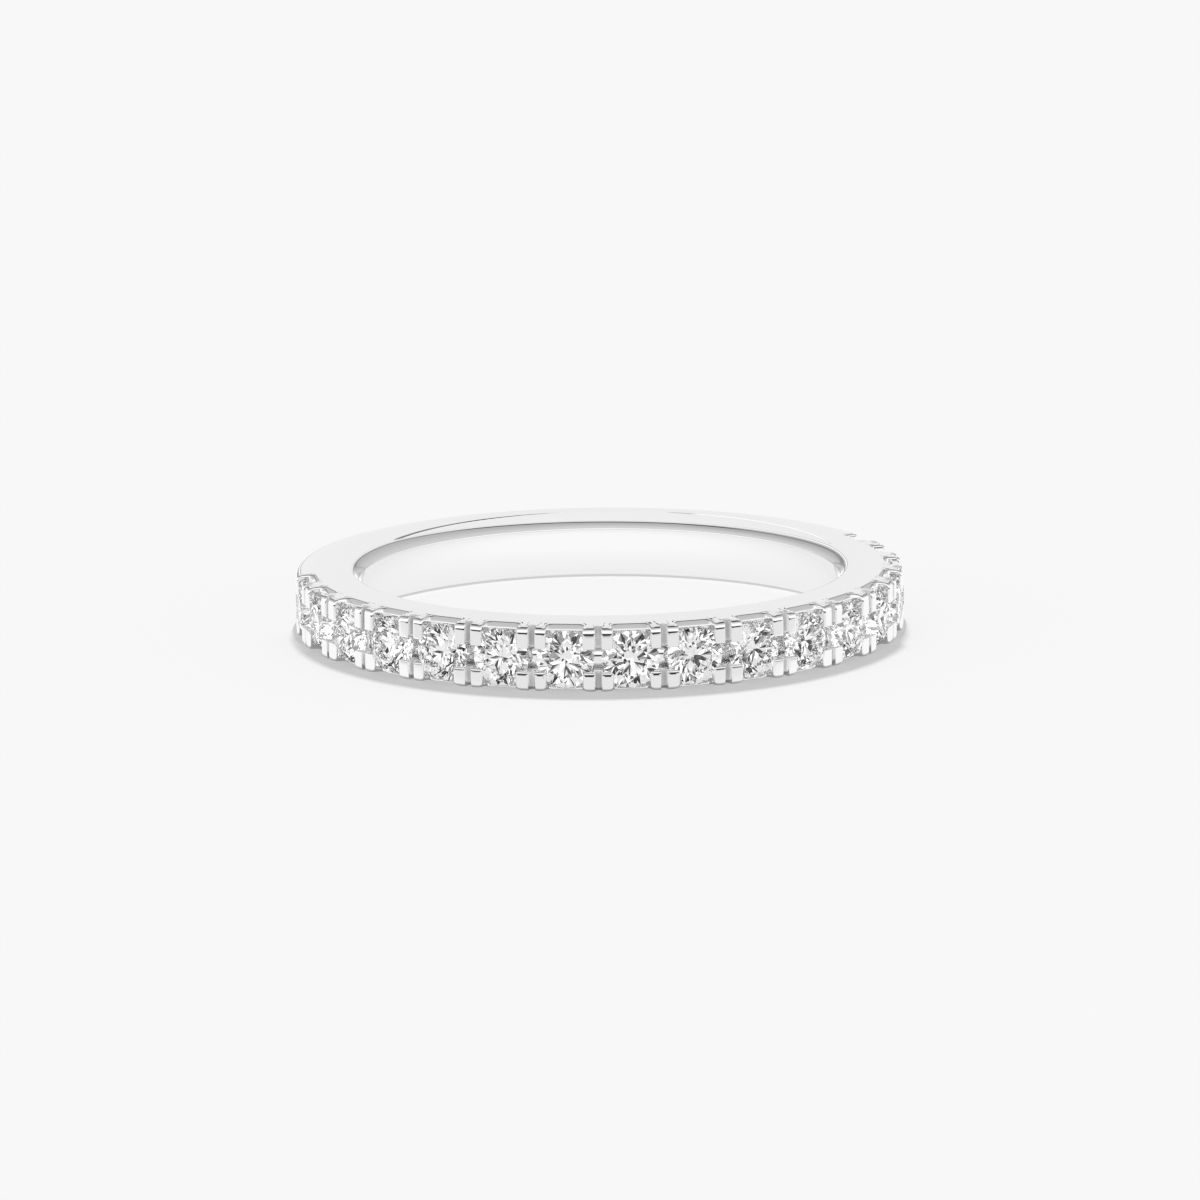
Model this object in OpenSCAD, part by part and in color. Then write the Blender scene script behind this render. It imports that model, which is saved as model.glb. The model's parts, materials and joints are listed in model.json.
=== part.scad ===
// Wedding ring: a flat-sided band with a row of round brilliants along the front,
// each held by shared prongs. The ring lies on one side face, so its axis is +Z.
// The origin is the centre of the finger hole, and the row is centred on -Y.
// Lengths are in millimetres and angles in degrees.

/* [Ring] */
// Diameter of the finger hole
bore_d = 17.3; // [15.7:0.1:20.6]
// Width of the band along the finger
band_w = 2.28; // [2.24:0.02:2.5]
// Thickness of the metal from the finger hole to the prong faces
wall_t = 2.3; // [2.2:0.05:2.6]
// Radius of the rounded outer edges
outer_round = 0.22; // [0.1:0.02:0.3]
// Chamfer of the inner edges, measured across the side face
inner_chamfer_r = 0.24; // [0.1:0.02:0.3]
// Chamfer of the inner edges, measured along the finger
inner_chamfer_z = 0.28; // [0.1:0.02:0.4]

/* [Eased rim] */
// Slope of the shallow hand-eased zone on the upper side face
ease_slope = 6.3; // [4:0.1:9]
// Radius of the eased zone's outline
ease_r = 8.42; // [8:0.01:8.6]
// Distance from the ring's axis to the middle of the eased zone
ease_shift = 1.6; // [1:0.05:1.8]
// Direction of the eased zone, turned from -Y
ease_turn = 154.6; // [120:0.1:240]

/* [Stones] */
// Number of stones in the row
stone_count = 17; // [9:2:21]
// Diameter of a stone at its girdle
stone_d = 2; // [1.8:0.05:2.05]
// Metal and clearance between two neighbouring girdles
stone_gap = 0.26; // [0.2:0.01:0.4]
// Width of the table as a share of the diameter
table_share = 0.56; // [0.5:0.01:0.62]
// Angle of the crown's main facets
crown_angle = 34.5; // [32:0.5:36]
// Angle of the pavilion's main facets
pavilion_angle = 40.75; // [40:0.25:42]
// Thickness of the girdle where the main facets meet it
girdle_t = 0.06; // [0.05:0.01:0.08]
// Clearance between a stone and its seat
seat_gap = 0.03; // [0.02:0.01:0.05]
// How much further each stone is turned in its seat than the one before
stone_spin = 137.5; // [0:0.5:360]
// How far the row of stones lies below the middle of the band
row_drop = 0.06; // [0:0.01:0.08]

/* [Setting] */
// Width of the open notch in front of each stone
notch_w = 1.28; // [1.2:0.02:1.44]
// Radius of the notch's inner corners
notch_round = 0.15; // [0.05:0.01:0.25]
// Depth of the notches below the prong faces
notch_depth = 0.55; // [0.45:0.01:0.6]
// Length of the upper prongs along the finger
upper_prong = 0.8; // [0.7:0.01:0.85]
// Length of the lower prongs along the finger
lower_prong = 0.68; // [0.6:0.01:0.85]
// Depth of the channel between the upper and the lower prongs
channel_depth = 0.6; // [0.45:0.01:0.65]
// Width of the groove that splits each prong
groove_w = 0.22; // [0.14:0.01:0.26]
// Depth of the groove that splits each prong
groove_depth = 0.34; // [0.2:0.01:0.4]

/* [Hidden] */
$fn = 96;
past = 0.5; // how far a cutter runs past the metal
bore_r = bore_d / 2;
outer_r = bore_r + wall_t;
half_w = band_w / 2;
stone_r = stone_d / 2;
table_r = stone_r * table_share;
crown_h = (stone_r - table_r) * tan(crown_angle);
pavilion_h = stone_r * tan(pavilion_angle);
girdle_r = outer_r - crown_h - girdle_t / 2; // the tables are level with the prongs
stone_step = 2 * asin((stone_d + stone_gap) / 2 / girdle_r);
row_half = (stone_count - 1) / 2 * stone_step;
stone_reach = asin((stone_r + seat_gap) / girdle_r); // half the angle that a seat covers
MAINS = 8; // main facets round a brilliant
half_main = 180 / MAINS;
star_share = 0.5; // how far a star facet reaches from the table to the girdle
star_r = (1 - star_share) * table_r * cos(half_main) + star_share * stone_r;
star_z = girdle_t / 2 + (stone_r - star_r * cos(half_main)) * tan(crown_angle);
lower_half_share = 0.78; // how far a lower half facet reaches from the girdle to the point
GIRDLE_SIDES = 4 * MAINS;
STONES = [for (i = [1 : stone_count]) str("stone_", i < 10 ? "0" : "", i)];

// Cross-section of the band: X is the distance from the axis, Y runs along it.
module band_profile() {
    round_r = outer_r - outer_round;
    round_z = half_w - outer_round;
    flat_r = bore_r + inner_chamfer_r;
    wall_z = half_w - inner_chamfer_z;
    polygon([
        [bore_r, -wall_z], [flat_r, -half_w], [round_r, -half_w],
        [round_r, half_w], [flat_r, half_w], [bore_r, wall_z]
    ]);
    translate([round_r - past, -round_z]) square([past + outer_round, 2 * round_z]);
    for (side = [-1, 1])
        translate([round_r, side * round_z]) circle(r = outer_round);
}

// Puts what faces +Z onto the ring so that it faces outwards, turned from -Y.
module on_ring(turn, r) {
    rotate([0, 0, turn]) translate([0, -r, 0]) rotate([90, 0, 0]) children();
}

function stone_turn(i) = -row_half + (i - 1) * stone_step;

// Puts what faces +Z at a stone's place in the row, with its girdle's middle there.
module in_row(i) {
    translate([0, 0, -row_drop]) on_ring(stone_turn(i), girdle_r) children();
}

// Slot across the whole width of the band in front of one stone, with rounded inner corners.
module notch(turn) {
    floor_r = outer_r - notch_depth;
    rotate([0, 0, turn])
        linear_extrude(height = band_w + 2 * past, center = true) {
            translate([-notch_w / 2 + notch_round, -outer_r - past])
                square([notch_w - 2 * notch_round, notch_depth + past]);
            translate([-notch_w / 2, -outer_r - past])
                square([notch_w, notch_depth + past - notch_round]);
            for (side = [-1, 1])
                translate([side * (notch_w / 2 - notch_round), -floor_r - notch_round])
                    circle(r = notch_round);
        }
}

// Groove that splits a prong in two, with a round floor.
module groove(turn) {
    floor_r = outer_r - groove_depth;
    rotate([0, 0, turn])
        linear_extrude(height = band_w + 2 * past, center = true) {
            translate([0, -floor_r - groove_w / 2]) circle(d = groove_w);
            translate([-groove_w / 2, -outer_r - past])
                square([groove_w, groove_depth + past - groove_w / 2]);
        }
}

// Channel round the row that parts the upper prongs from the lower ones.
module prong_channel() {
    reach = row_half + stone_reach;
    rotate([0, 0, -90 - reach])
        rotate_extrude(angle = 2 * reach)
            translate([outer_r - channel_depth, lower_prong - half_w])
                square([channel_depth + past, band_w - lower_prong - upper_prong]);
}

// Seat of one stone: a little larger than the stone on every side.
module seat() {
    r = stone_r + seat_gap;
    top = girdle_t / 2 + seat_gap;
    rotate_extrude()
        polygon([
            [0, -pavilion_h - top - seat_gap], [r, -top], [r, top],
            [star_r + seat_gap, star_z + seat_gap],
            [table_r + seat_gap, crown_h + top], [table_r + seat_gap, crown_h + past],
            [0, crown_h + past]
        ]);
}

// Shallow cone whose middle lies off the ring's axis, so it eases only part of the rim.
module eased_rim() {
    depth = ease_r * tan(ease_slope);
    rotate([0, 0, ease_turn]) translate([0, -ease_shift, half_w - depth])
        cylinder(h = 2 * depth, r1 = 0, r2 = 2 * ease_r);
}

module band() {
    color("gainsboro")
        difference() {
            rotate_extrude() band_profile();
            eased_rim();
            prong_channel();
            for (i = [1 : stone_count]) {
                notch(stone_turn(i));
                in_row(i) seat();
            }
            for (i = [1 : stone_count - 1])
                groove(stone_turn(i) + stone_step / 2);
        }
}

function polar(r, a, z) = [r * cos(a), r * sin(a), z];

// Height, at one point of the plan, of the plane through three points.
function plane_z(p, a, b, c) =
    let (n = cross(b - a, c - a))
    a.z - (n.x * (p.x - a.x) + n.y * (p.y - a.y)) / n.z;

// Brilliant cut with a table, 8 star, 8 kite and 16 upper half facets, a girdle,
// 16 lower half facets and 8 main facets. Its axis is Z and its girdle is at z = 0.
module brilliant() {
    top = girdle_t / 2;
    low_r = (1 - lower_half_share) * stone_r;
    low_z = -top - (stone_r - low_r * cos(half_main)) * tan(pavilion_angle);
    table = [for (k = [0 : MAINS - 1]) polar(table_r, 2 * half_main * k, top + crown_h)];
    stars = [for (k = [0 : MAINS - 1]) polar(star_r, half_main * (2 * k + 1), star_z)];
    lows = [for (k = [0 : MAINS - 1]) polar(low_r, half_main * (2 * k + 1), low_z)];
    // Every second point of the girdle lies on the half facets' planes, which gives
    // the girdle its scalloped edges.
    upper = [
        for (k = [0 : GIRDLE_SIDES - 1])
            let (
                p = polar(stone_r, half_main * k / 2, top),
                a = polar(stone_r, half_main * (k - 1) / 2, top),
                b = polar(stone_r, half_main * (k + 1) / 2, top)
            )
            k % 2 == 0 ? p : [p.x, p.y, plane_z(p, a, b, stars[floor(k / 4)])]
    ];
    lower = [
        for (k = [0 : GIRDLE_SIDES - 1])
            let (
                p = polar(stone_r, half_main * k / 2, -top),
                a = polar(stone_r, half_main * (k - 1) / 2, -top),
                b = polar(stone_r, half_main * (k + 1) / 2, -top)
            )
            k % 2 == 0 ? p : [p.x, p.y, plane_z(p, a, b, lows[floor(k / 4)])]
    ];
    star_0 = MAINS;
    low_0 = 2 * MAINS;
    upper_0 = 3 * MAINS;
    lower_0 = upper_0 + GIRDLE_SIDES;
    point = lower_0 + GIRDLE_SIDES;
    function main(k) = (k + MAINS) % MAINS;
    function side(k) = (k + GIRDLE_SIDES) % GIRDLE_SIDES;
    faces = concat(
        [[for (k = [MAINS - 1 : -1 : 0]) k]],
        [for (k = [0 : MAINS - 1]) [k, main(k + 1), star_0 + k]],
        [for (k = [0 : MAINS - 1]) [k, star_0 + k, upper_0 + 4 * k, star_0 + main(k - 1)]],
        [for (k = [0 : MAINS - 1]) each [
            [star_0 + k, upper_0 + 4 * k + 2, upper_0 + 4 * k + 1, upper_0 + 4 * k],
            [star_0 + k, upper_0 + side(4 * k + 4), upper_0 + 4 * k + 3, upper_0 + 4 * k + 2]
        ]],
        [for (k = [0 : GIRDLE_SIDES - 1])
            [upper_0 + k, upper_0 + side(k + 1), lower_0 + side(k + 1), lower_0 + k]],
        [for (k = [0 : MAINS - 1]) each [
            [low_0 + k, lower_0 + 4 * k, lower_0 + 4 * k + 1, lower_0 + 4 * k + 2],
            [low_0 + k, lower_0 + 4 * k + 2, lower_0 + 4 * k + 3, lower_0 + side(4 * k + 4)]
        ]],
        [for (k = [0 : MAINS - 1]) [point, low_0 + main(k - 1), lower_0 + 4 * k, low_0 + k]]
    );
    polyhedron(
        points = concat(table, stars, lows, upper, lower, [[0, 0, -top - pavilion_h]]),
        faces = faces
    );
}

module stone(i) {
    color("aliceblue")
        in_row(i) rotate([0, 0, i * stone_spin]) brilliant();
}

band();
for (i = [1 : stone_count])
    stone(i);
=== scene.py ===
"""Looks of the wedding ring: a polished band with worn-in edges, cut stones, floor, light and camera.

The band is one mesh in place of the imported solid. It is lofted from plan outlines with
rounded edges, then cut for the prong channel and the stones' seats. Lengths are in metres,
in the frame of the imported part: the finger hole's axis is Z and the row is centred on -Y.
"""
import json
import math

import bmesh
import bpy
import numpy as np
from mathutils import Matrix, Vector


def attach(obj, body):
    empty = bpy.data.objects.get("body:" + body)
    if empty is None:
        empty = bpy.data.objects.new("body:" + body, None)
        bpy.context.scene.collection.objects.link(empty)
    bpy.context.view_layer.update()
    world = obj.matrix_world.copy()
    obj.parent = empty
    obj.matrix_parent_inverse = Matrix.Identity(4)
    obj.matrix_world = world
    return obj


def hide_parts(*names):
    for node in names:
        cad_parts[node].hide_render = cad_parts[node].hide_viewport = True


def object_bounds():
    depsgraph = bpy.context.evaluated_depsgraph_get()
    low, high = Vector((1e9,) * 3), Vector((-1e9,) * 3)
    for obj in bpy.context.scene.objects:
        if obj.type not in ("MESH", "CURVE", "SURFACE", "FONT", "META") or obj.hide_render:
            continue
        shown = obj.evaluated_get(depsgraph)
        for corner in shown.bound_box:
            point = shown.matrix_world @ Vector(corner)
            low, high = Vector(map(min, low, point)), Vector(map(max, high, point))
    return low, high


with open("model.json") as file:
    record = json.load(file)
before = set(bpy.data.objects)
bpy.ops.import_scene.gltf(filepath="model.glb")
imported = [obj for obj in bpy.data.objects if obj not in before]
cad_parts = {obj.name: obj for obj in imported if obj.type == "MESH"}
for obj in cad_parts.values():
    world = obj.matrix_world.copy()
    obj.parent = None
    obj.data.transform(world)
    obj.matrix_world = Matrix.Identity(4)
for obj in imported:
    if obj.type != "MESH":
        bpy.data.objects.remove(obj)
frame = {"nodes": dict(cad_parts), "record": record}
cad_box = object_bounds()

MM = 0.001

# Band, as in the part's source
OUTER_R = cad_box[1].y
HALF_W = cad_box[1].z
BORE_R = frame["record"]["mounts"][0]["dims"]["r_mm"] * MM
CHAMFER_R = 0.24 * MM
CHAMFER_Z = 0.28 * MM
EASE_SLOPE = math.radians(6.3)
EASE_R = 8.42 * MM
EASE_SHIFT = 1.6 * MM
EASE_TURN = math.radians(154.6)

# Stones and setting, as in the part's source
STONE_COUNT = 17
STONE_R = 1.0 * MM
STONE_GAP = 0.26 * MM
TABLE_SHARE = 0.56
CROWN_ANGLE = math.radians(34.5)
PAVILION_ANGLE = math.radians(40.75)
GIRDLE_T = 0.06 * MM
SEAT_GAP = 0.03 * MM
STAR_R = 0.759 * STONE_R
ROW_DROP = 0.06 * MM
NOTCH_W = 1.28 * MM
NOTCH_ROUND = 0.15 * MM
NOTCH_DEPTH = 0.55 * MM
UPPER_PRONG = 0.8 * MM
LOWER_PRONG = 0.68 * MM
CHANNEL_DEPTH = 0.6 * MM
GROOVE_W = 0.22 * MM
GROOVE_DEPTH = 0.34 * MM

CROWN_H = (1 - TABLE_SHARE) * STONE_R * math.tan(CROWN_ANGLE)
GIRDLE_R = OUTER_R - CROWN_H - GIRDLE_T / 2
STONE_STEP = 2 * math.asin((STONE_R + STONE_GAP / 2) / GIRDLE_R)
ROW_HALF = (STONE_COUNT - 1) / 2 * STONE_STEP

# Finish of the edges, which the solid leaves sharp
PRONG_EDGE = 0.05 * MM
NOTCH_EDGE = 0.07 * MM
OUTER_ROUND_Z = 0.17 * MM
OUTER_ROUND_R = 0.12 * MM
SIDE_EDGE = 0.035 * MM
DOME = 0.13 * MM
DOME_Z = 0.26 * MM
UPPER_CORNER = 0.1 * MM
LOWER_CORNER = 0.14 * MM
MOUTH_CORNER = 0.09 * MM
BAR_BULGE = 0.2 * MM
GROOVE_FLARE = 0.04 * MM
GROOVE_ROUND = 0.2 * MM
MOUTH_DEPTH = 0.06 * MM
UPPER_MOUTH = 0.08 * MM
# Angle of the arc, in degrees, at which the upper prongs' rounded lower end meets their face
MOUTH_END = -4
# Rolled edges, as (slope in degrees, run in mm) from the prong's face to its upper end
UPPER_ROLL = (
    (5, 0.025), (6.3, 0.035), (9, 0.012), (13, 0.05), (17, 0.06), (40, 0.035), (43, 0.035),
    (47, 0.035), (70, 0.055), (78, 0.045), (86, 0.02),
)
LOWER_ROLL = (
    (5.2, 0.02), (5.9, 0.045), (6.6, 0.045), (12, 0.012), (20, 0.012), (32, 0.015),
    (48, 0.015), (66, 0.015), (84, 0.015),
)
# The upper notch floors lean back towards the top, and the lower ones have a lip at the bottom
SHELF_RUN = 0.2 * MM
SHELF_SLOPE = math.radians(33)
LIP = 0.14 * MM
LIP_REACH = 0.22 * MM

# The finger hole's edges. The upper bevel is steeper than the solid's and slightly crowned. The
# lower one reaches further out and shows as the line at the wall's foot.
UPPER_BEVEL_Z = 0.4 * MM
UNDER_BEVEL_R = 0.8 * MM
CHAMFER_CROWN = 0.009 * MM
RIM_EDGE = 0.08 * MM
INNER_EDGE = 0.03 * MM
# Places round the ring are the sine of the turn from the camera: -1 at the ring's left end and
# 1 at its right end. Between these two, the rounding of the upper inner edge doubles.
RIM_WIDENS = (0.3125, 0.9375)
# The eased zone starts with a small step down, a dark line on the left and a bright one on the
# right. On each side its height grows between two places. It fades out where the zone's outline
# nears the inner edge.
STEP_W = 0.06 * MM
STEP_LEFT = 0.06 * MM
STEP_RIGHT = 0.027 * MM
LEFT_GROWS = (-0.08, -0.88)
RIGHT_GROWS = (1 / 15, 0.4)
STEP_FADE = STEP_W / 4
# The step on the right is full width from this share of its height on
RIGHT_FULL_FROM = 0.2
LEAST_WIDTH = 0.15
# Rows across the step, in widths outwards from its foot
STEP_ROWS = (1.3, 1.0, 0.85, 0.5, 0.15, 0.0, -0.3)

# Hand work: how far the grooves, notch walls and edges stray from prong to prong
GROOVE_STRAY = 0.025 * MM
WALL_STRAY = 0.025 * MM
EDGE_STRAY = 0.03 * MM
HAND_SEED = 11
# The lower prongs are wider by this much on each side
LOWER_WIDER = 0.03 * MM

# Fineness of the band's mesh, and where its outlines meet the rows of the side faces
NOTCH_STEPS = 5
SHANK_POINTS = 150
BOTTOM_ROWS = 10
MOUTH_ROWS = 6
CHANNEL_STEPS = 400
SEAT_SIDES = 64
FACE_RING_R = 10.2 * MM
DEPTH_WEIGHT = 0.25
HALVINGS = 30
# How far the cutters reach beyond the metal
CHANNEL_PAST = 0.3 * MM
SEAT_PAST = 0.5 * MM
# After the cuts, shorter sides are closed and steeper edges are shaded sharp
SHORTEST_SIDE = 0.0002 * MM
SHARP_FROM = math.radians(32)

# Camera, found from the ring's outline in the photograph
CAMERA_TURN = math.radians(-17.88)
CAMERA_RISE = math.radians(12.02)
CAMERA_ROLL = 0.0104
CAMERA_DISTANCE = 231.1 * MM
CAMERA_LENS = 191.96
CAMERA_SENSOR = 36
CAMERA_SHIFT = 0.02175
CAMERA_CLIP = 10 * MM

# Metal. Painted shade darkens its colour in crevices, by how open it is within the reach: (open
# share, brightness)
CREVICE_SHADE_REACH = 0.25 * MM
CREVICE_SHADE_TONES = ((0.1, 0.3), (0.5, 0.45), (0.9, 0.965))
POLISHED = 0.965
CREVICE_SHADE_UNEVEN = 1.8
# In the finger hole, up to this many radii out, a ray is mirrored twice and then sees this glow, a
# painted light in place of the further mirroring
INSIDE_REACH = 1.04
MIRRORED_TWICE = 1.5
PAINTED_INSIDE_GLOW = 0.35
# Clouds that make its gloss uneven, and fine polishing marks
CLOUD_SCALE = 0.9 / MM
CLOUD_DETAIL = 3
CLOUD_RANGE = (0.35, 0.65)
METAL_ROUGHNESS = (0.035, 0.075)
MARKS_SCALE = 3.0 / MM
MARKS_DETAIL = 4
MARKS_STRENGTH = 0.12
MARKS_DEPTH = 0.004 * MM

# Stones, whose polish is softer in a few patches
MOISSANITE_IOR = 2.65
MOISSANITE_TINT = 0.3
PATCH_SCALE = 2.0 / MM
PATCH_DETAIL = 2
PATCH_RANGE = (0.55, 0.75)
STONE_ROUGHNESS = (0.0, 0.03)

# Studio. The tent is (place, brightness), where the place is the rise of the polished surface
# that shows this part of the tent in the main view: 0 for an upright one and 1 for a level one.
TENT = (
    (0.0, 0.03), (0.12, 0.03), (0.17, 1.12), (0.31, 1.12), (0.4, 0.7), (0.54, 0.56),
    (0.62, 0.46), (0.64, 0.05), (0.735, 0.05), (0.755, 0.62), (0.87, 0.62), (0.885, 1.12),
    (0.93, 1.12), (0.942, 0.5), (0.965, 0.5), (0.975, 0.92), (0.994, 0.885), (1.0, 0.86),
)
TENT_STRENGTH = 1.0
# The dark gap lies over the ring's front and ends towards both sides, where it turns grey
GAP_FROM = 0.5
GAP_SIDES = 0.28
GAP_ENDS = ((0.36, 0.0), (0.46, 1.0))
# Seen through the stones, the tent has dark and grey panels, most of them near the camera
PANEL_SCALE = 2.0
PANELS = ((0.0, 0.0), (0.46, 0.3), (0.54, 1.35))
PANELS_LIGHTER = 0.3
LAMP_TURN = math.radians(184)
LAMP_RISE = math.radians(64)
LAMP_ANGLE = math.radians(10)
LAMP_STRENGTH = 4.6
FLOOR_SIZE = 2.0
FLOOR_GREY = 0.25
FLOOR_GLOW = 0.4595
# What the ring mirrors of the table is painted: painted shade underneath it, and dark further out in
# front
PAINTED_SHADE_UNDER_RING = (
    (0.0, 1.0), (0.2, 1.0), (0.43, 0.9), (0.47, 0.9), (0.48, 0.3), (0.545, 0.3), (0.555, 1.0),
)
UNDER_REACH = 20 * MM
# The painted reflection of the table turns grey and then dark further out in front
PAINTED_FLOOR_REFLECTION = ((0.0, 0.98), (0.09, 0.98), (0.11, 0.82), (0.25, 0.82), (0.265, 0.03))
MIRROR_REACH = 100 * MM
# The cards that shade the floor from the lamp: radius and height of one edge and of the other,
# in mm, and the arc in degrees from the front
SHADE_CARDS = (
    (10.93, 0, 10.93, 2.28, -100, 100),
    (11.1, 0, 11.1, 2.2, -115, 75),
    (10.42, 0, 10.42, 1.1, -100, 100),
    (9.4, 0, 9.4, 0.9, -180, 180),
    (9.7, 0.25, 11.05, 0.25, -115, 100),
)
CARD_POINTS = 121
WHITE = (1, 1, 1, 1)


def stone_turn(i):
    """Angle of a stone about the finger hole's axis, from -Y, in radians."""
    return -ROW_HALF + i * STONE_STEP


def growth(value, start, end):
    """0 up to the start, 1 from the end on, and even in between."""
    return np.clip((value - start) / (end - start), 0, 1)


def arc(x, y, r_x, r_y, start, end, steps):
    """Points on an ellipse's arc, both ends included."""
    angles = np.radians(np.linspace(start, end, steps + 1))
    return np.column_stack([x + r_x * np.cos(angles), y + r_y * np.sin(angles)])


def hand_work():
    """Small differences between the prongs, for each side of each notch.

    The notch floors' outer edges are rounded less the further they lie from the camera.
    """
    draw = np.random.default_rng(HAND_SEED)
    grooves = draw.uniform(-1, 1, (STONE_COUNT, 3)) * GROOVE_STRAY
    walls = draw.uniform(-1, 1, (STONE_COUNT, 2, 2)) * WALL_STRAY
    walls[:, :, 0] -= LOWER_WIDER
    edges = draw.uniform(0, 1, (STONE_COUNT, 2)) * EDGE_STRAY
    work = {}
    for i in range(STONE_COUNT):
        for side in (-1, 1):
            shift, width, depth = grooves[i if side > 0 else i - 1]
            work[i, side] = {
                "walls": walls[i, (side + 1) // 2],
                "edge": edges[i, (side + 1) // 2],
                "front": max(math.cos(stone_turn(i) - CAMERA_TURN), 0),
                "groove_shift": side * shift,
                "groove_width": width / 2,
                "groove_depth": depth,
            }
    return work


def corner(radius, distance):
    """How far a corner's rounding stands back at a distance from its end."""
    inside = max(radius - distance, 0)
    return radius - math.sqrt(radius ** 2 - inside ** 2)


def rolled(steps):
    """Points of a rolled edge, as how far each lies inwards and along, from the face on."""
    points = [(0.0, 0.0)]
    for slope, run in steps:
        inwards, along = points[-1]
        a = math.radians(slope)
        points.append((inwards + run * MM * math.sin(a), along + run * MM * math.cos(a)))
    return points


def wear(height):
    """How far the edges stand back at a height: notch floor, notch walls and groove."""
    end = HALF_W - abs(height)
    if height > 0:
        mouth, side_corner = height - (HALF_W - UPPER_PRONG), UPPER_CORNER
        shelf = max(SHELF_RUN - end, 0) * math.tan(SHELF_SLOPE)
    else:
        mouth, side_corner = -HALF_W + LOWER_PRONG - height, LOWER_CORNER
        shelf = -LIP * max(1 - end / LIP_REACH, 0)
    mouth = max(mouth, 0)
    return {
        "shelf": shelf,
        "floor": corner(SIDE_EDGE, end),
        "wall": corner(side_corner, end) + corner(MOUTH_CORNER, mouth),
        "groove": corner(GROOVE_FLARE, end) + corner(GROOVE_FLARE, mouth),
        "round": corner(1, end / DOME_Z) * DOME,
        "upper": int(height > 0),
    }


def tooth_start(top_r, worn, work):
    """Plan outline from a stone's centre plane to the rim of the next prong.

    X runs along the band and Y outwards. Returns the points and the polar angle where the
    rim starts.
    """
    half = NOTCH_W / 2 + worn["wall"] + work["walls"][worn["upper"]]
    floor = OUTER_R - NOTCH_DEPTH - worn["shelf"] - worn["floor"] * work["front"]
    flat = half - NOTCH_ROUND
    x = np.linspace(0, flat, NOTCH_STEPS + 1)[:-1]
    bottom = np.column_stack([x, np.full(len(x), floor)])
    fillet = arc(flat, floor + NOTCH_ROUND, NOTCH_ROUND, NOTCH_ROUND, -90, 0, NOTCH_STEPS)
    round_r = NOTCH_EDGE + work["edge"] + worn["round"]
    x = half + round_r
    y = math.sqrt((top_r - round_r) ** 2 - x ** 2)
    rim = math.degrees(math.atan2(y, x))
    edge = arc(x, y, round_r, round_r, 180, rim, steps=6)
    return np.vstack([bottom, fillet, edge]), rim


def tooth_end(top_r, worn, work):
    """Plan outline from a prong's rim to the middle of its groove, in the prong's own frame."""
    half = GROOVE_W / 2 + worn["groove"] + work["groove_width"]
    middle = work["groove_shift"]
    x = middle - half - PRONG_EDGE
    y = math.sqrt((top_r - PRONG_EDGE) ** 2 - x ** 2)
    rim = math.degrees(math.atan2(y, x))
    edge = arc(x, y, PRONG_EDGE, PRONG_EDGE, rim, 0, steps=4)
    floor = OUTER_R - GROOVE_DEPTH - worn["groove"] + work["groove_depth"]
    bottom = arc(middle, floor + GROOVE_ROUND, half, GROOVE_ROUND, 180, 270, steps=5)
    return np.vstack([edge, bottom]), rim


def turned(points, angle):
    """Points of a plan, turned clockwise by an angle in radians."""
    c, s = math.cos(angle), math.sin(angle)
    return points @ np.array([[c, -s], [s, c]])


def half_pitch(top_r, worn, work, split):
    """Outline from a stone's centre plane to the next prong's. split adds the prong's groove."""
    start, rim_from = tooth_start(top_r, worn, work)
    half = STONE_STEP / 2
    if split:
        end, rim_to = tooth_end(top_r, worn, work)
        rim_to -= math.degrees(half)
        end = turned(end, half)
        rim = arc(0, 0, top_r, top_r, rim_from, rim_to, steps=4)[1:-1]
        return np.vstack([start, rim, end])
    rim_to = 90 - math.degrees(half)
    return np.vstack([start, arc(0, 0, top_r, top_r, rim_from, rim_to, steps=5)[1:]])


def even_share(points):
    """Share of the half pitch at which each outline point meets the side face's inner ring."""
    step = np.abs(np.diff(points, axis=0))
    run = np.concatenate([[0], np.cumsum(step[:, 0] + DEPTH_WEIGHT * step[:, 1])])
    return run / run[-1]


def plan_outline(top_r, worn, work):
    """The whole outline as polar points, and the angles that its points have further in."""
    radii, angles, inner = [], [], []
    for i in range(STONE_COUNT):
        for side in (-1, 1):
            last = i == 0 if side < 0 else i == STONE_COUNT - 1
            points = half_pitch(top_r, worn, work[i, side], not last)
            share = even_share(points) * STONE_STEP / 2
            if side < 0:
                first = 0 if last else 1
                points, share = points[::-1][first:] * (-1, 1), -share[::-1][first:]
            else:
                points, share = points[1:], share[1:]
            radii.append(np.hypot(points[:, 0], points[:, 1]))
            angles.append(stone_turn(i) + np.arctan2(points[:, 0], points[:, 1]))
            inner.append(stone_turn(i) + share)
    shank_from = ROW_HALF + STONE_STEP / 2
    shank = np.linspace(shank_from, 2 * math.pi - shank_from, SHANK_POINTS)[1:-1]
    radii.append(np.full(len(shank), top_r))
    angles.append(shank)
    inner.append(shank)
    return np.concatenate(radii), np.concatenate(angles), np.concatenate(inner)


def face_height(radius, angle):
    """Height of the upper side face, lowered where the rim is eased."""
    x = radius * np.sin(angle) - EASE_SHIFT * math.sin(EASE_TURN)
    y = -radius * np.cos(angle) + EASE_SHIFT * math.cos(EASE_TURN)
    depth = (EASE_R - np.hypot(x, y)) * math.tan(EASE_SLOPE)
    return HALF_W - np.maximum(depth, 0)


def chamfer_height(radius):
    """Height of the finger hole's upper bevel."""
    return HALF_W - UPPER_BEVEL_Z + (radius - BORE_R) * UPPER_BEVEL_Z / CHAMFER_R


def eased_edge(angle):
    """Radius at which the upper bevel meets the upper side face."""
    low = np.full(len(angle), BORE_R)
    high = np.full(len(angle), BORE_R + CHAMFER_R)
    for _ in range(HALVINGS):
        middle = (low + high) / 2
        below = chamfer_height(middle) < face_height(middle, angle)
        low = np.where(below, middle, low)
        high = np.where(below, high, middle)
    return (low + high) / 2


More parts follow.
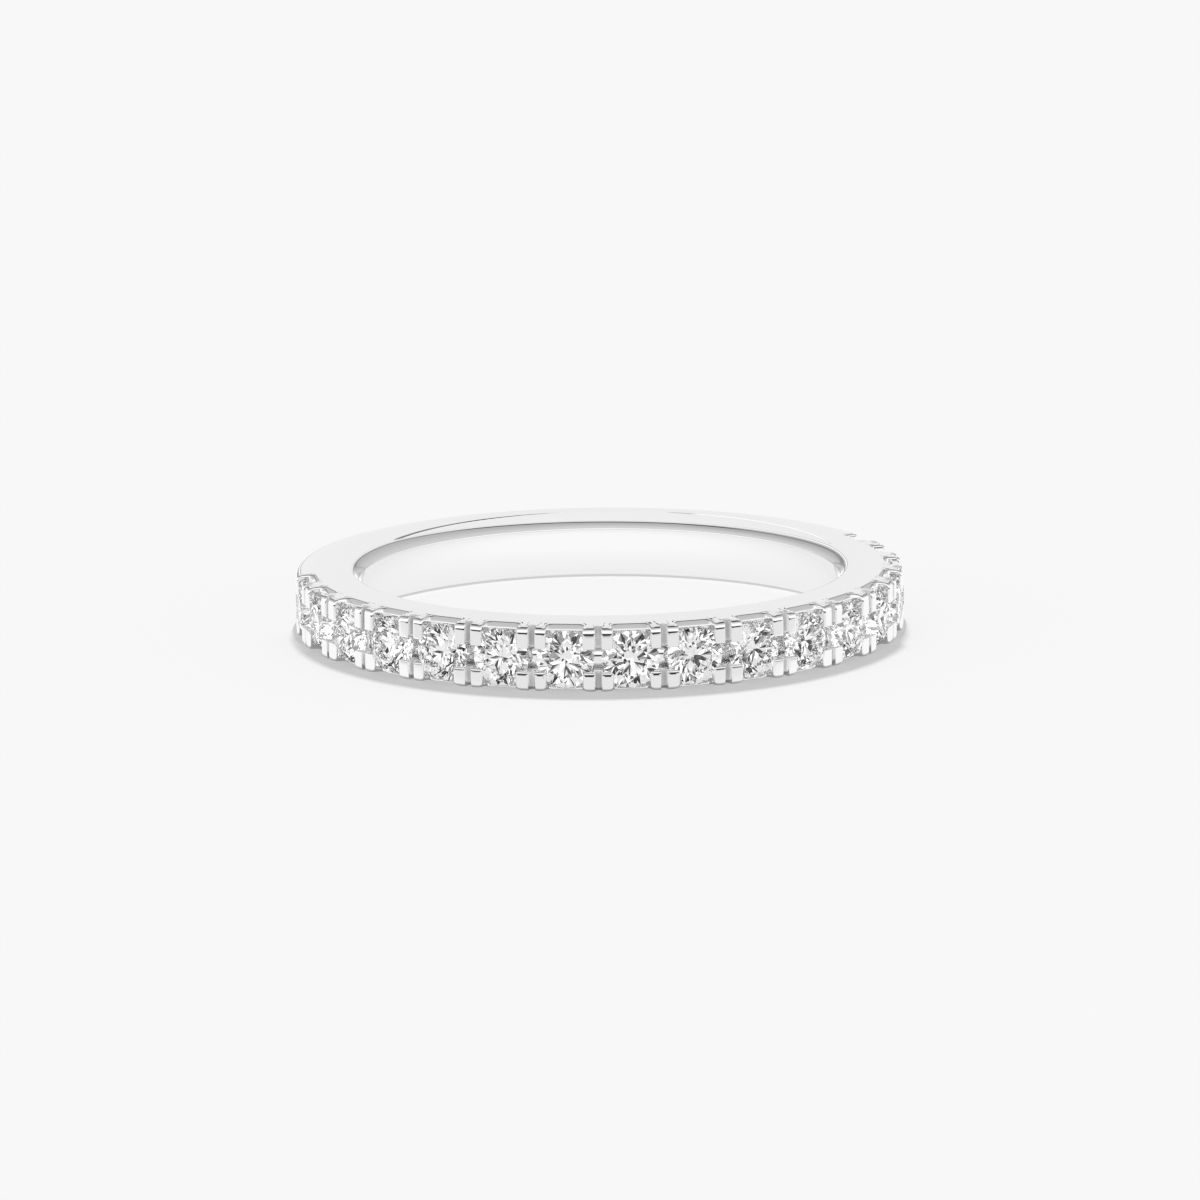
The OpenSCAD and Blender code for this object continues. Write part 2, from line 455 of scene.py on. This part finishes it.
def rim_edge(angle):
    """How far the upper inner edge is rounded, which is more at the ring's right end."""
    return RIM_EDGE * (1 + growth(np.sin(angle - CAMERA_TURN), *RIM_WIDENS))


def least_outline(angle):
    """Radius just outside the rounding of the finger hole's upper edge."""
    return BORE_R + CHAMFER_R + rim_edge(angle) + INNER_EDGE / 2


def eased_outline(angle):
    """Radius of the eased zone's outline, or just outside the inner edge where it isn't eased."""
    turn = angle - EASE_TURN
    reach = EASE_R ** 2 - (EASE_SHIFT * np.sin(turn)) ** 2
    zone = EASE_SHIFT * np.cos(turn) + np.sqrt(reach)
    return np.maximum(zone, least_outline(angle))


def softened(before, peak, after, steps=3):
    """Rows of a section that round a corner, from one point of the section to another."""
    rows = []
    for t in np.linspace(0, 1, steps + 1):
        radius, height = (
            (1 - t) ** 2 * a + 2 * t * (1 - t) * b + t ** 2 * c
            for a, b, c in zip(before, peak, after)
        )
        rows.append((radius, height))
    return rows


def inner_rows(angle, upper):
    """Rows of (radius, height) from the side face's ring to the finger hole's wall."""
    full = np.ones(len(angle))
    chamfer_r, chamfer_z = (CHAMFER_R, UPPER_BEVEL_Z) if upper else (UNDER_BEVEL_R, CHAMFER_Z)
    edge_r = eased_edge(angle) if upper else full * (BORE_R + chamfer_r)
    side = face_height if upper else (lambda radius, angle: HALF_W * full)
    rows = [(full * FACE_RING_R, side(FACE_RING_R, angle))]
    if upper:
        crease = eased_outline(angle)
        turn = np.sin(angle - CAMERA_TURN)
        left = growth(turn, *LEFT_GROWS)
        right = growth(turn, *RIGHT_GROWS)
        fade = growth(crease - least_outline(angle), 0, STEP_FADE)
        step = np.maximum(left * STEP_LEFT, right * STEP_RIGHT) * fade
        full_width = np.maximum(left, growth(right, 0, RIGHT_FULL_FROM)) * fade
        width = STEP_W * np.maximum(full_width, LEAST_WIDTH)
        for t in STEP_ROWS:
            at = crease + t * width
            rows.append((at, side(at, angle) - step * min(max(1 - t, 0), 1)))
    edge = edge_r, side(edge_r, angle)
    reach = rim_edge(angle) if upper else full * RIM_EDGE
    on_face = edge_r + reach, side(edge_r + reach, angle)
    slope = chamfer_r / math.hypot(chamfer_r, chamfer_z)
    fall = chamfer_z / math.hypot(chamfer_r, chamfer_z)
    on_chamfer = edge[0] - reach * slope, edge[1] - reach * fall
    foot = full * BORE_R, full * (HALF_W - chamfer_z)
    above_foot = foot[0] + INNER_EDGE * slope, foot[1] + INNER_EDGE * fall
    below_foot = foot[0], foot[1] - INNER_EDGE
    rows += softened(on_face, edge, on_chamfer, steps=6)
    for t in (0.2, 0.4, 0.6, 0.8):
        crown = 4 * t * (1 - t) * CHAMFER_CROWN
        radius, height = ((1 - t) * on_chamfer[k] + t * above_foot[k] for k in (0, 1))
        rows.append((radius - crown * fall, height + crown * slope))
    rows += softened(above_foot, foot, below_foot)
    return rows


def loft_band():
    """Vertices and faces of the band before its channel and seats are cut."""
    levels = []
    for a in np.radians(np.linspace(-90, 0, BOTTOM_ROWS)):
        height = -HALF_W + OUTER_ROUND_Z * (1 + math.sin(a))
        levels.append((height, OUTER_R - OUTER_ROUND_R * (1 - math.cos(a))))
    lower, upper = [], []
    for away in MOUTH_CORNER * (1 - np.sin(np.radians(np.linspace(0, 90, MOUTH_ROWS)))):
        lower.append((-HALF_W + LOWER_PRONG - away, OUTER_R))
        upper.append((HALF_W - UPPER_PRONG + away, OUTER_R))
    roll = rolled(UPPER_ROLL)
    top = [(HALF_W - roll[-1][1] + along, OUTER_R - inwards) for inwards, along in roll]
    levels = levels + lower + upper[::-1] + top
    rows = []
    work = hand_work()
    for height, top_r in levels:
        radius, angle, inner = plan_outline(top_r, wear(height), work)
        rows.append((radius, angle, np.full(len(angle), height)))
    above = inner_rows(inner, upper=True)
    below = inner_rows(inner, upper=False)
    rows += [(radius, inner, height) for radius, height in above]
    rows += [(radius, inner, -height) for radius, height in reversed(below)]
    points = np.vstack([
        np.column_stack([radius * np.sin(angle), -radius * np.cos(angle), height])
        for radius, angle, height in rows
    ])
    return points, grid_faces(len(rows), len(inner), len(rows), len(inner))


def grid_faces(rows, columns, row_steps, column_steps):
    """Quads between the neighbours in a grid of points, which closes if steps equal points."""
    return [
        (
            r * columns + c,
            (r + 1) % rows * columns + c,
            (r + 1) % rows * columns + (c + 1) % columns,
            r * columns + (c + 1) % columns,
        )
        for r in range(row_steps)
        for c in range(column_steps)
    ]


def mesh_object(name, points, faces):
    """A new object of the scene with a mesh of these points and faces."""
    mesh = bpy.data.meshes.new(name)
    mesh.from_pydata([tuple(p) for p in points], [], faces)
    mesh.update()
    obj = bpy.data.objects.new(name, mesh)
    bpy.context.scene.collection.objects.link(obj)
    return obj


def revolved(profile, angles):
    """Points of a profile of (radius, height), repeated at angles about Z from -Y."""
    return [(r * math.sin(a), -r * math.cos(a), z) for a in angles for r, z in profile]


def channel_cutter():
    """Ring-shaped cutter between the upper and lower prongs, whose mouth rounds their ends."""
    reach = ROW_HALF + math.asin((STONE_R + SEAT_GAP) / GIRDLE_R)
    low = -HALF_W + LOWER_PRONG
    high = HALF_W - UPPER_PRONG
    floor = OUTER_R - CHANNEL_DEPTH
    rim = OUTER_R - MOUTH_DEPTH
    mouth = arc(rim, high + UPPER_MOUTH, MOUTH_DEPTH, UPPER_MOUTH, -90, MOUTH_END, steps=8)
    roll = rolled(LOWER_ROLL)
    past = OUTER_R + CHANNEL_PAST
    middle = (low + high) / 2
    bar = arc(floor - BAR_BULGE, middle, BAR_BULGE, (high - low) / 2, -90, 90, steps=20)
    profile = [
        *map(tuple, bar),
        *map(tuple, mouth),
        (past, high + UPPER_MOUTH),
        (past, low - roll[-1][1]),
        *[(OUTER_R - inwards, low - roll[-1][1] + along) for inwards, along in roll],
    ]
    points = revolved(profile, np.linspace(-reach, reach, CHANNEL_STEPS + 1))
    count = len(profile)
    faces = grid_faces(CHANNEL_STEPS + 1, count, CHANNEL_STEPS, count)
    first_end = range(count)
    last_end = range(len(points) - count, len(points))
    faces += [tuple(first_end), tuple(reversed(last_end))]
    return mesh_object("channel_cutter", points, faces)


def seat_cutters():
    """One cutter for each stone's seat, a little larger than the stone."""
    top = GIRDLE_T / 2 + SEAT_GAP
    rim = STONE_R + SEAT_GAP
    pavilion = STONE_R * math.tan(PAVILION_ANGLE)
    star_z = GIRDLE_T / 2 + (STONE_R - STAR_R * math.cos(math.pi / 8)) * math.tan(CROWN_ANGLE)
    profile = [
        (rim, -top),
        (rim, top),
        (STAR_R + SEAT_GAP, star_z + SEAT_GAP),
        (TABLE_SHARE * STONE_R + SEAT_GAP, CROWN_H + top),
        (TABLE_SHARE * STONE_R + SEAT_GAP, CROWN_H + SEAT_PAST),
    ]
    count = len(profile)
    seat = revolved(profile, np.linspace(0, 2 * math.pi, SEAT_SIDES, endpoint=False))
    seat_faces = grid_faces(SEAT_SIDES, count, SEAT_SIDES, count - 1)
    low, high = len(seat), len(seat) + 1
    seat += [(0, 0, -pavilion - top - SEAT_GAP), (0, 0, CROWN_H + SEAT_PAST)]
    starts = [i * count for i in range(SEAT_SIDES)]
    sides = list(zip(starts, starts[1:] + starts[:1]))
    seat_faces += [(low, after, before) for before, after in sides]
    seat_faces += [(high, before + count - 1, after + count - 1) for before, after in sides]
    points, faces = [], []
    for i in range(STONE_COUNT):
        place = (
            Matrix.Rotation(stone_turn(i), 4, "Z")
            @ Matrix.Translation((0, -GIRDLE_R, -ROW_DROP))
            @ Matrix.Rotation(math.pi / 2, 4, "X")
        )
        faces += [tuple(len(points) + v for v in face) for face in seat_faces]
        points += [tuple(place @ Vector(p)) for p in seat]
    return mesh_object("seat_cutters", points, faces)


def cut(obj, cutter):
    """Cuts one mesh out of another and deletes the cutter."""
    modifier = obj.modifiers.new("cut", "BOOLEAN")
    modifier.operation = "DIFFERENCE"
    modifier.solver = "MANIFOLD"
    modifier.object = cutter
    apply_modifiers(obj)
    bpy.data.objects.remove(cutter)


def apply_modifiers(obj):
    """Gives an object the mesh that its modifiers make, with no material on it."""
    graph = bpy.context.evaluated_depsgraph_get()
    mesh = bpy.data.meshes.new_from_object(obj.evaluated_get(graph))
    obj.modifiers.clear()
    mesh.materials.clear()
    mesh.polygons.foreach_set("material_index", np.zeros(len(mesh.polygons), dtype=np.int32))
    obj.data = mesh


def outward(obj):
    """Turns all faces of a closed mesh outwards."""
    work = bmesh.new()
    work.from_mesh(obj.data)
    bmesh.ops.recalc_face_normals(work, faces=work.faces)
    work.to_mesh(obj.data)
    work.free()


def clean(obj):
    """Removes the faces without area that the cuts leave, and splits those with many sides."""
    work = bmesh.new()
    work.from_mesh(obj.data)
    bmesh.ops.remove_doubles(work, verts=work.verts, dist=SHORTEST_SIDE)
    bmesh.ops.dissolve_degenerate(work, dist=SHORTEST_SIDE, edges=work.edges)
    many = [face for face in work.faces if len(face.verts) > 4]
    bmesh.ops.triangulate(work, faces=many, quad_method="BEAUTY", ngon_method="BEAUTY")
    bmesh.ops.dissolve_degenerate(work, dist=SHORTEST_SIDE, edges=work.edges)
    work.to_mesh(obj.data)
    work.free()


def make_band():
    """The polished band, lofted, cut and shaded smooth, with flat faces that look flat."""
    points, faces = loft_band()
    band = mesh_object("polished_band", points, faces)
    outward(band)
    for cutter in (channel_cutter(), seat_cutters()):
        outward(cutter)
        cut(band, cutter)
    clean(band)
    band.data.shade_smooth()
    band.data.set_sharp_from_angle(angle=SHARP_FROM)
    weighted = band.modifiers.new("flat_faces_stay_flat", "WEIGHTED_NORMAL")
    weighted.keep_sharp = True
    weighted.weight = 100
    apply_modifiers(band)
    return band


def principled(name):
    """A new material. Returns it with its node tree and shader."""
    material = bpy.data.materials.new(name)
    material.use_nodes = True
    return material, material.node_tree, material.node_tree.nodes["Principled BSDF"]


def add(tree, kind, **settings):
    """A new shader node with its properties."""
    node = tree.nodes.new(kind)
    for name, value in settings.items():
        setattr(node, name, value)
    return node


def math_node(tree, operation, *values):
    """A Math node, whose values are numbers or other nodes' outputs. Returns its output."""
    node = add(tree, "ShaderNodeMath", operation=operation)
    for socket, value in zip(node.inputs, values):
        if isinstance(value, bpy.types.NodeSocket):
            tree.links.new(value, socket)
        else:
            socket.default_value = value
    return node.outputs[0]


def vector_math(tree, operation, vector, fixed=None):
    """A Vector Math node on an output and a fixed vector. Returns its output."""
    node = add(tree, "ShaderNodeVectorMath", operation=operation)
    tree.links.new(vector, node.inputs[0])
    if fixed:
        node.inputs[1].default_value = fixed
    return node.outputs["Value" if operation in ("LENGTH", "DOT_PRODUCT") else "Vector"]


def noise(tree, place, scale, detail):
    """A noise pattern over a surface. Returns its output."""
    node = add(tree, "ShaderNodeTexNoise")
    node.inputs["Scale"].default_value = scale
    node.inputs["Detail"].default_value = detail
    tree.links.new(place, node.inputs["Vector"])
    return node.outputs["Fac"]


def mapped(tree, value, given, wanted):
    """A value mapped from one (least, most) range to another. Returns its output."""
    node = add(tree, "ShaderNodeMapRange")
    for name, number in zip(("From Min", "From Max", "To Min", "To Max"), given + wanted):
        node.inputs[name].default_value = number
    tree.links.new(value, node.inputs["Value"])
    return node.outputs["Result"]


def ramp_node(tree, value, stops, interpolation="LINEAR"):
    """A colour ramp of greys from (place, brightness) stops. Returns its output."""
    node = add(tree, "ShaderNodeValToRGB")
    node.color_ramp.interpolation = interpolation
    points = node.color_ramp.elements
    while len(points) < len(stops):
        points.new(0.5)
    for point, (place, grey) in zip(points, stops):
        point.position = place
        point.color = (grey, grey, grey, 1)
    tree.links.new(value, node.inputs["Fac"])
    return node.outputs["Color"]


def mixed(tree, factor, a, b):
    """A mix of two numbers or outputs. Returns its output."""
    node = add(tree, "ShaderNodeMix", data_type="FLOAT")
    for name, value in (("Factor", factor), ("A", a), ("B", b)):
        if isinstance(value, bpy.types.NodeSocket):
            tree.links.new(value, node.inputs[name])
        else:
            node.inputs[name].default_value = value
    return node.outputs["Result"]


def white_metal():
    """Rhodium-bright metal, uneven in gloss, with polishing marks, painted shade in its crevices and
    a painted glow in the finger hole.
    """
    material, tree, shader = principled("white_metal")
    shader.inputs["Metallic"].default_value = 1
    # Painted shade: how open each place is within the reach sets how dark the metal's colour is
    open_air = add(tree, "ShaderNodeAmbientOcclusion", samples=8, only_local=True)
    open_air.inputs["Distance"].default_value = CREVICE_SHADE_REACH
    place = add(tree, "ShaderNodeTexCoord").outputs["Object"]
    cloud = noise(tree, place, CLOUD_SCALE, CLOUD_DETAIL)
    # The painted shade is uneven in the crevices alone, so the open faces stay clean
    closed = math_node(tree, "SUBTRACT", 1.0, open_air.outputs["AO"])
    uneven = math_node(tree, "SUBTRACT", cloud, 0.5)
    uneven = math_node(tree, "MULTIPLY", uneven, closed)
    depth = math_node(tree, "MULTIPLY_ADD", uneven, CREVICE_SHADE_UNEVEN, open_air.outputs["AO"])
    path = add(tree, "ShaderNodeLightPath").outputs
    # Camera and diffuse rays see the painted crevice shade; mirrored in other surfaces, the metal is
    # evenly polished
    painted_shade_tone = mixed(tree, path["Is Glossy Ray"], ramp_node(tree, depth, CREVICE_SHADE_TONES), POLISHED)
    across = vector_math(tree, "MULTIPLY", place, (1 / BORE_R, 1 / BORE_R, 0))
    radii_out = vector_math(tree, "LENGTH", across)
    # The finger hole's wall and bevels mirror one another evenly instead of again and again: once a
    # ray has been mirrored twice, the metal there is black and glows with painted light
    again = math_node(tree, "GREATER_THAN", path["Glossy Depth"], MIRRORED_TWICE)
    inside = math_node(tree, "LESS_THAN", radii_out, INSIDE_REACH)
    again = math_node(tree, "MULTIPLY", again, inside)
    tree.links.new(mixed(tree, again, painted_shade_tone, 0.0), shader.inputs["Base Color"])
    shader.inputs["Emission Color"].default_value = WHITE
    tree.links.new(mixed(tree, again, 0.0, PAINTED_INSIDE_GLOW), shader.inputs["Emission Strength"])
    material.cycles.emission_sampling = "NONE"
    gloss = mapped(tree, cloud, CLOUD_RANGE, METAL_ROUGHNESS)
    tree.links.new(gloss, shader.inputs["Roughness"])
    bump = add(tree, "ShaderNodeBump")
    bump.inputs["Strength"].default_value = MARKS_STRENGTH
    bump.inputs["Distance"].default_value = MARKS_DEPTH
    tree.links.new(noise(tree, place, MARKS_SCALE, MARKS_DETAIL), bump.inputs["Height"])
    tree.links.new(bump.outputs["Normal"], shader.inputs["Normal"])
    return material


def moissanite():
    """Clear, highly refractive stone whose polish is a little softer in patches."""
    material, tree, shader = principled("moissanite")
    shader.inputs["Base Color"].default_value = WHITE
    shader.inputs["IOR"].default_value = MOISSANITE_IOR
    tint = (MOISSANITE_TINT, MOISSANITE_TINT, MOISSANITE_TINT, 1)
    shader.inputs["Specular Tint"].default_value = tint
    shader.inputs["Transmission Weight"].default_value = 1
    place = add(tree, "ShaderNodeTexCoord").outputs["Object"]
    patches = noise(tree, place, PATCH_SCALE, PATCH_DETAIL)
    polish = mapped(tree, patches, PATCH_RANGE, STONE_ROUGHNESS)
    tree.links.new(polish, shader.inputs["Roughness"])
    return material


def make_floor():
    """The white table, square to the camera. The ring mirrors a darker, painted one without a shadow,
    with painted shade under the ring.
    """
    bpy.ops.mesh.primitive_plane_add(size=FLOOR_SIZE, location=(0, 0, cad_box[0].z))
    floor = bpy.context.object
    floor.name = "floor"
    floor.matrix_world = floor.matrix_world @ Matrix.Rotation(CAMERA_TURN, 4, "Z")
    material, tree, shader = principled("floor")
    shader.inputs["Base Color"].default_value = (FLOOR_GREY, FLOOR_GREY, FLOOR_GREY, 1)
    shader.inputs["Specular IOR Level"].default_value = 0
    shader.inputs["Emission Color"].default_value = WHITE
    shader.inputs["Emission Strength"].default_value = FLOOR_GLOW
    place = add(tree, "ShaderNodeTexCoord").outputs["Object"]
    in_front = vector_math(tree, "DOT_PRODUCT", place, (0, -1, 0))
    under = math_node(tree, "DIVIDE", vector_math(tree, "LENGTH", place), UNDER_REACH)
    reach = math_node(tree, "DIVIDE", in_front, MIRROR_REACH)
    painted_mirror_tones = ramp_node(tree, under, PAINTED_SHADE_UNDER_RING), ramp_node(tree, reach, PAINTED_FLOOR_REFLECTION)
    # Rays other than the camera's see the painted table: painted shade under the ring and dark far
    # out in front
    mirrored = add(tree, "ShaderNodeEmission")
    tree.links.new(math_node(tree, "MULTIPLY", *painted_mirror_tones), mirrored.inputs["Color"])
    choice = add(tree, "ShaderNodeMixShader")
    tree.links.new(add(tree, "ShaderNodeLightPath").outputs["Is Camera Ray"], choice.inputs["Fac"])
    tree.links.new(mirrored.outputs["Emission"], choice.inputs[1])
    tree.links.new(shader.outputs["BSDF"], choice.inputs[2])
    tree.links.new(choice.outputs["Shader"], tree.nodes["Material Output"].inputs["Surface"])
    floor.data.materials.append(material)
    return floor


def make_world():
    """A white light tent with a dark gap, and dark panels that only the stones show."""
    world = bpy.data.worlds.new("studio")
    world.use_nodes = True
    tree = world.node_tree
    direction = add(tree, "ShaderNodeTexCoord").outputs["Generated"]
    turn = add(tree, "ShaderNodeVectorRotate", rotation_type="Z_AXIS")
    turn.inputs["Angle"].default_value = -CAMERA_TURN
    tree.links.new(direction, turn.inputs["Vector"])
    direction = turn.outputs["Vector"]
    view = (0, math.cos(CAMERA_RISE), -math.sin(CAMERA_RISE))
    facing = vector_math(tree, "NORMALIZE", vector_math(tree, "SUBTRACT", direction, view))
    rise = add(tree, "ShaderNodeSeparateXYZ")
    tree.links.new(facing, rise.inputs["Vector"])
    sides = [(place, max(grey, GAP_SIDES) if place > GAP_FROM else grey) for place, grey in TENT]
    aside = ramp_node(tree, math_node(tree, "ABSOLUTE", rise.outputs["X"]), GAP_ENDS)
    tent = [ramp_node(tree, rise.outputs["Z"], stops) for stops in (TENT, sides)]
    tent = mixed(tree, aside, *tent)
    cells = add(tree, "ShaderNodeTexVoronoi")
    cells.inputs["Scale"].default_value = PANEL_SCALE
    tree.links.new(direction, cells.inputs["Vector"])
    away = math_node(tree, "ADD", vector_math(tree, "DOT_PRODUCT", direction, view), 1.0)
    shade = math_node(tree, "MULTIPLY_ADD", away, PANELS_LIGHTER, cells.outputs["Color"])
    panels = ramp_node(tree, shade, PANELS, "CONSTANT")
    through_stone = add(tree, "ShaderNodeLightPath").outputs["Is Transmission Ray"]
    light = mixed(tree, through_stone, tent, panels)
    tree.links.new(light, tree.nodes["Background"].inputs["Color"])
    tree.nodes["Background"].inputs["Strength"].default_value = TENT_STRENGTH
    bpy.context.scene.world = world


def make_shade():
    """Cards inside and around the metal, which alone keep the lamp's light off the floor.

    In the photograph the shadow lies in front of the ring and hardly at all in the hole.
    """
    points, faces = [], []
    for near_r, near_z, far_r, far_z, start, end in SHADE_CARDS:
        angles = np.radians(np.linspace(start, end, CARD_POINTS))
        for radius, height in ((near_r * MM, near_z * MM), (far_r * MM, far_z * MM)):
            z = cad_box[0].z + height
            points += [(radius * math.sin(a), -radius * math.cos(a), z) for a in angles]
        first = len(points) - 2 * len(angles)
        for i in range(first, first + len(angles) - 1):
            faces.append((i, i + 1, i + 1 + len(angles), i + len(angles)))
    cards = mesh_object("shade_cards", points, faces)
    cards.matrix_world = Matrix.Rotation(CAMERA_TURN, 4, "Z")
    for kind in ("camera", "diffuse", "glossy", "transmission"):
        setattr(cards, "visible_" + kind, False)
    return cards


def only(name, obj):
    """A collection that holds one object, for linking a light to it."""
    group = bpy.data.collections.new(name)
    group.objects.link(obj)
    return group


def make_lamp(floor, shade):
    """One soft lamp, high behind the ring as the camera sees it. It lights the floor alone."""
    data = bpy.data.lights.new("lamp", "SUN")
    data.angle = LAMP_ANGLE
    data.energy = LAMP_STRENGTH
    lamp = bpy.data.objects.new("lamp", data)
    bpy.context.scene.collection.objects.link(lamp)
    lamp.matrix_world = (
        Matrix.Rotation(CAMERA_TURN + LAMP_TURN, 4, "Z")
        @ Matrix.Rotation(math.pi / 2 - LAMP_RISE, 4, "X")
    )
    lamp.light_linking.receiver_collection = only("lit_by_lamp", floor)
    lamp.light_linking.blocker_collection = only("shades_lamp", shade)


def make_camera():
    """The photograph's camera, which looks at the point of the floor below the finger hole."""
    data = bpy.data.cameras.new("camera")
    data.lens = CAMERA_LENS
    data.sensor_width = CAMERA_SENSOR
    data.shift_y = CAMERA_SHIFT
    data.clip_start = CAMERA_CLIP
    camera = bpy.data.objects.new("camera", data)
    bpy.context.scene.collection.objects.link(camera)
    camera.matrix_world = (
        Matrix.Translation((0, 0, cad_box[0].z))
        @ Matrix.Rotation(CAMERA_TURN, 4, "Z")
        @ Matrix.Rotation(math.pi / 2 - CAMERA_RISE, 4, "X")
        @ Matrix.Translation((0, 0, CAMERA_DISTANCE))
        @ Matrix.Rotation(-CAMERA_ROLL, 4, "Z")
    )
    bpy.context.scene.camera = camera


band = make_band()
band.data.materials.append(white_metal())
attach(band, "root")
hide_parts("band")

gem = moissanite()
for name, stone in frame["nodes"].items():
    if name.startswith("stone"):
        for material_slot in stone.material_slots:
            material_slot.material = gem

floor = make_floor()
make_world()
make_lamp(floor, make_shade())
make_camera()
bpy.context.scene.view_settings.view_transform = "Standard"
# Light needs many bounces to leave the stones and the curved metal around them
bpy.context.scene.cycles.max_bounces = 40
bpy.context.scene.cycles.glossy_bounces = 24
bpy.context.scene.cycles.transmission_bounces = 32
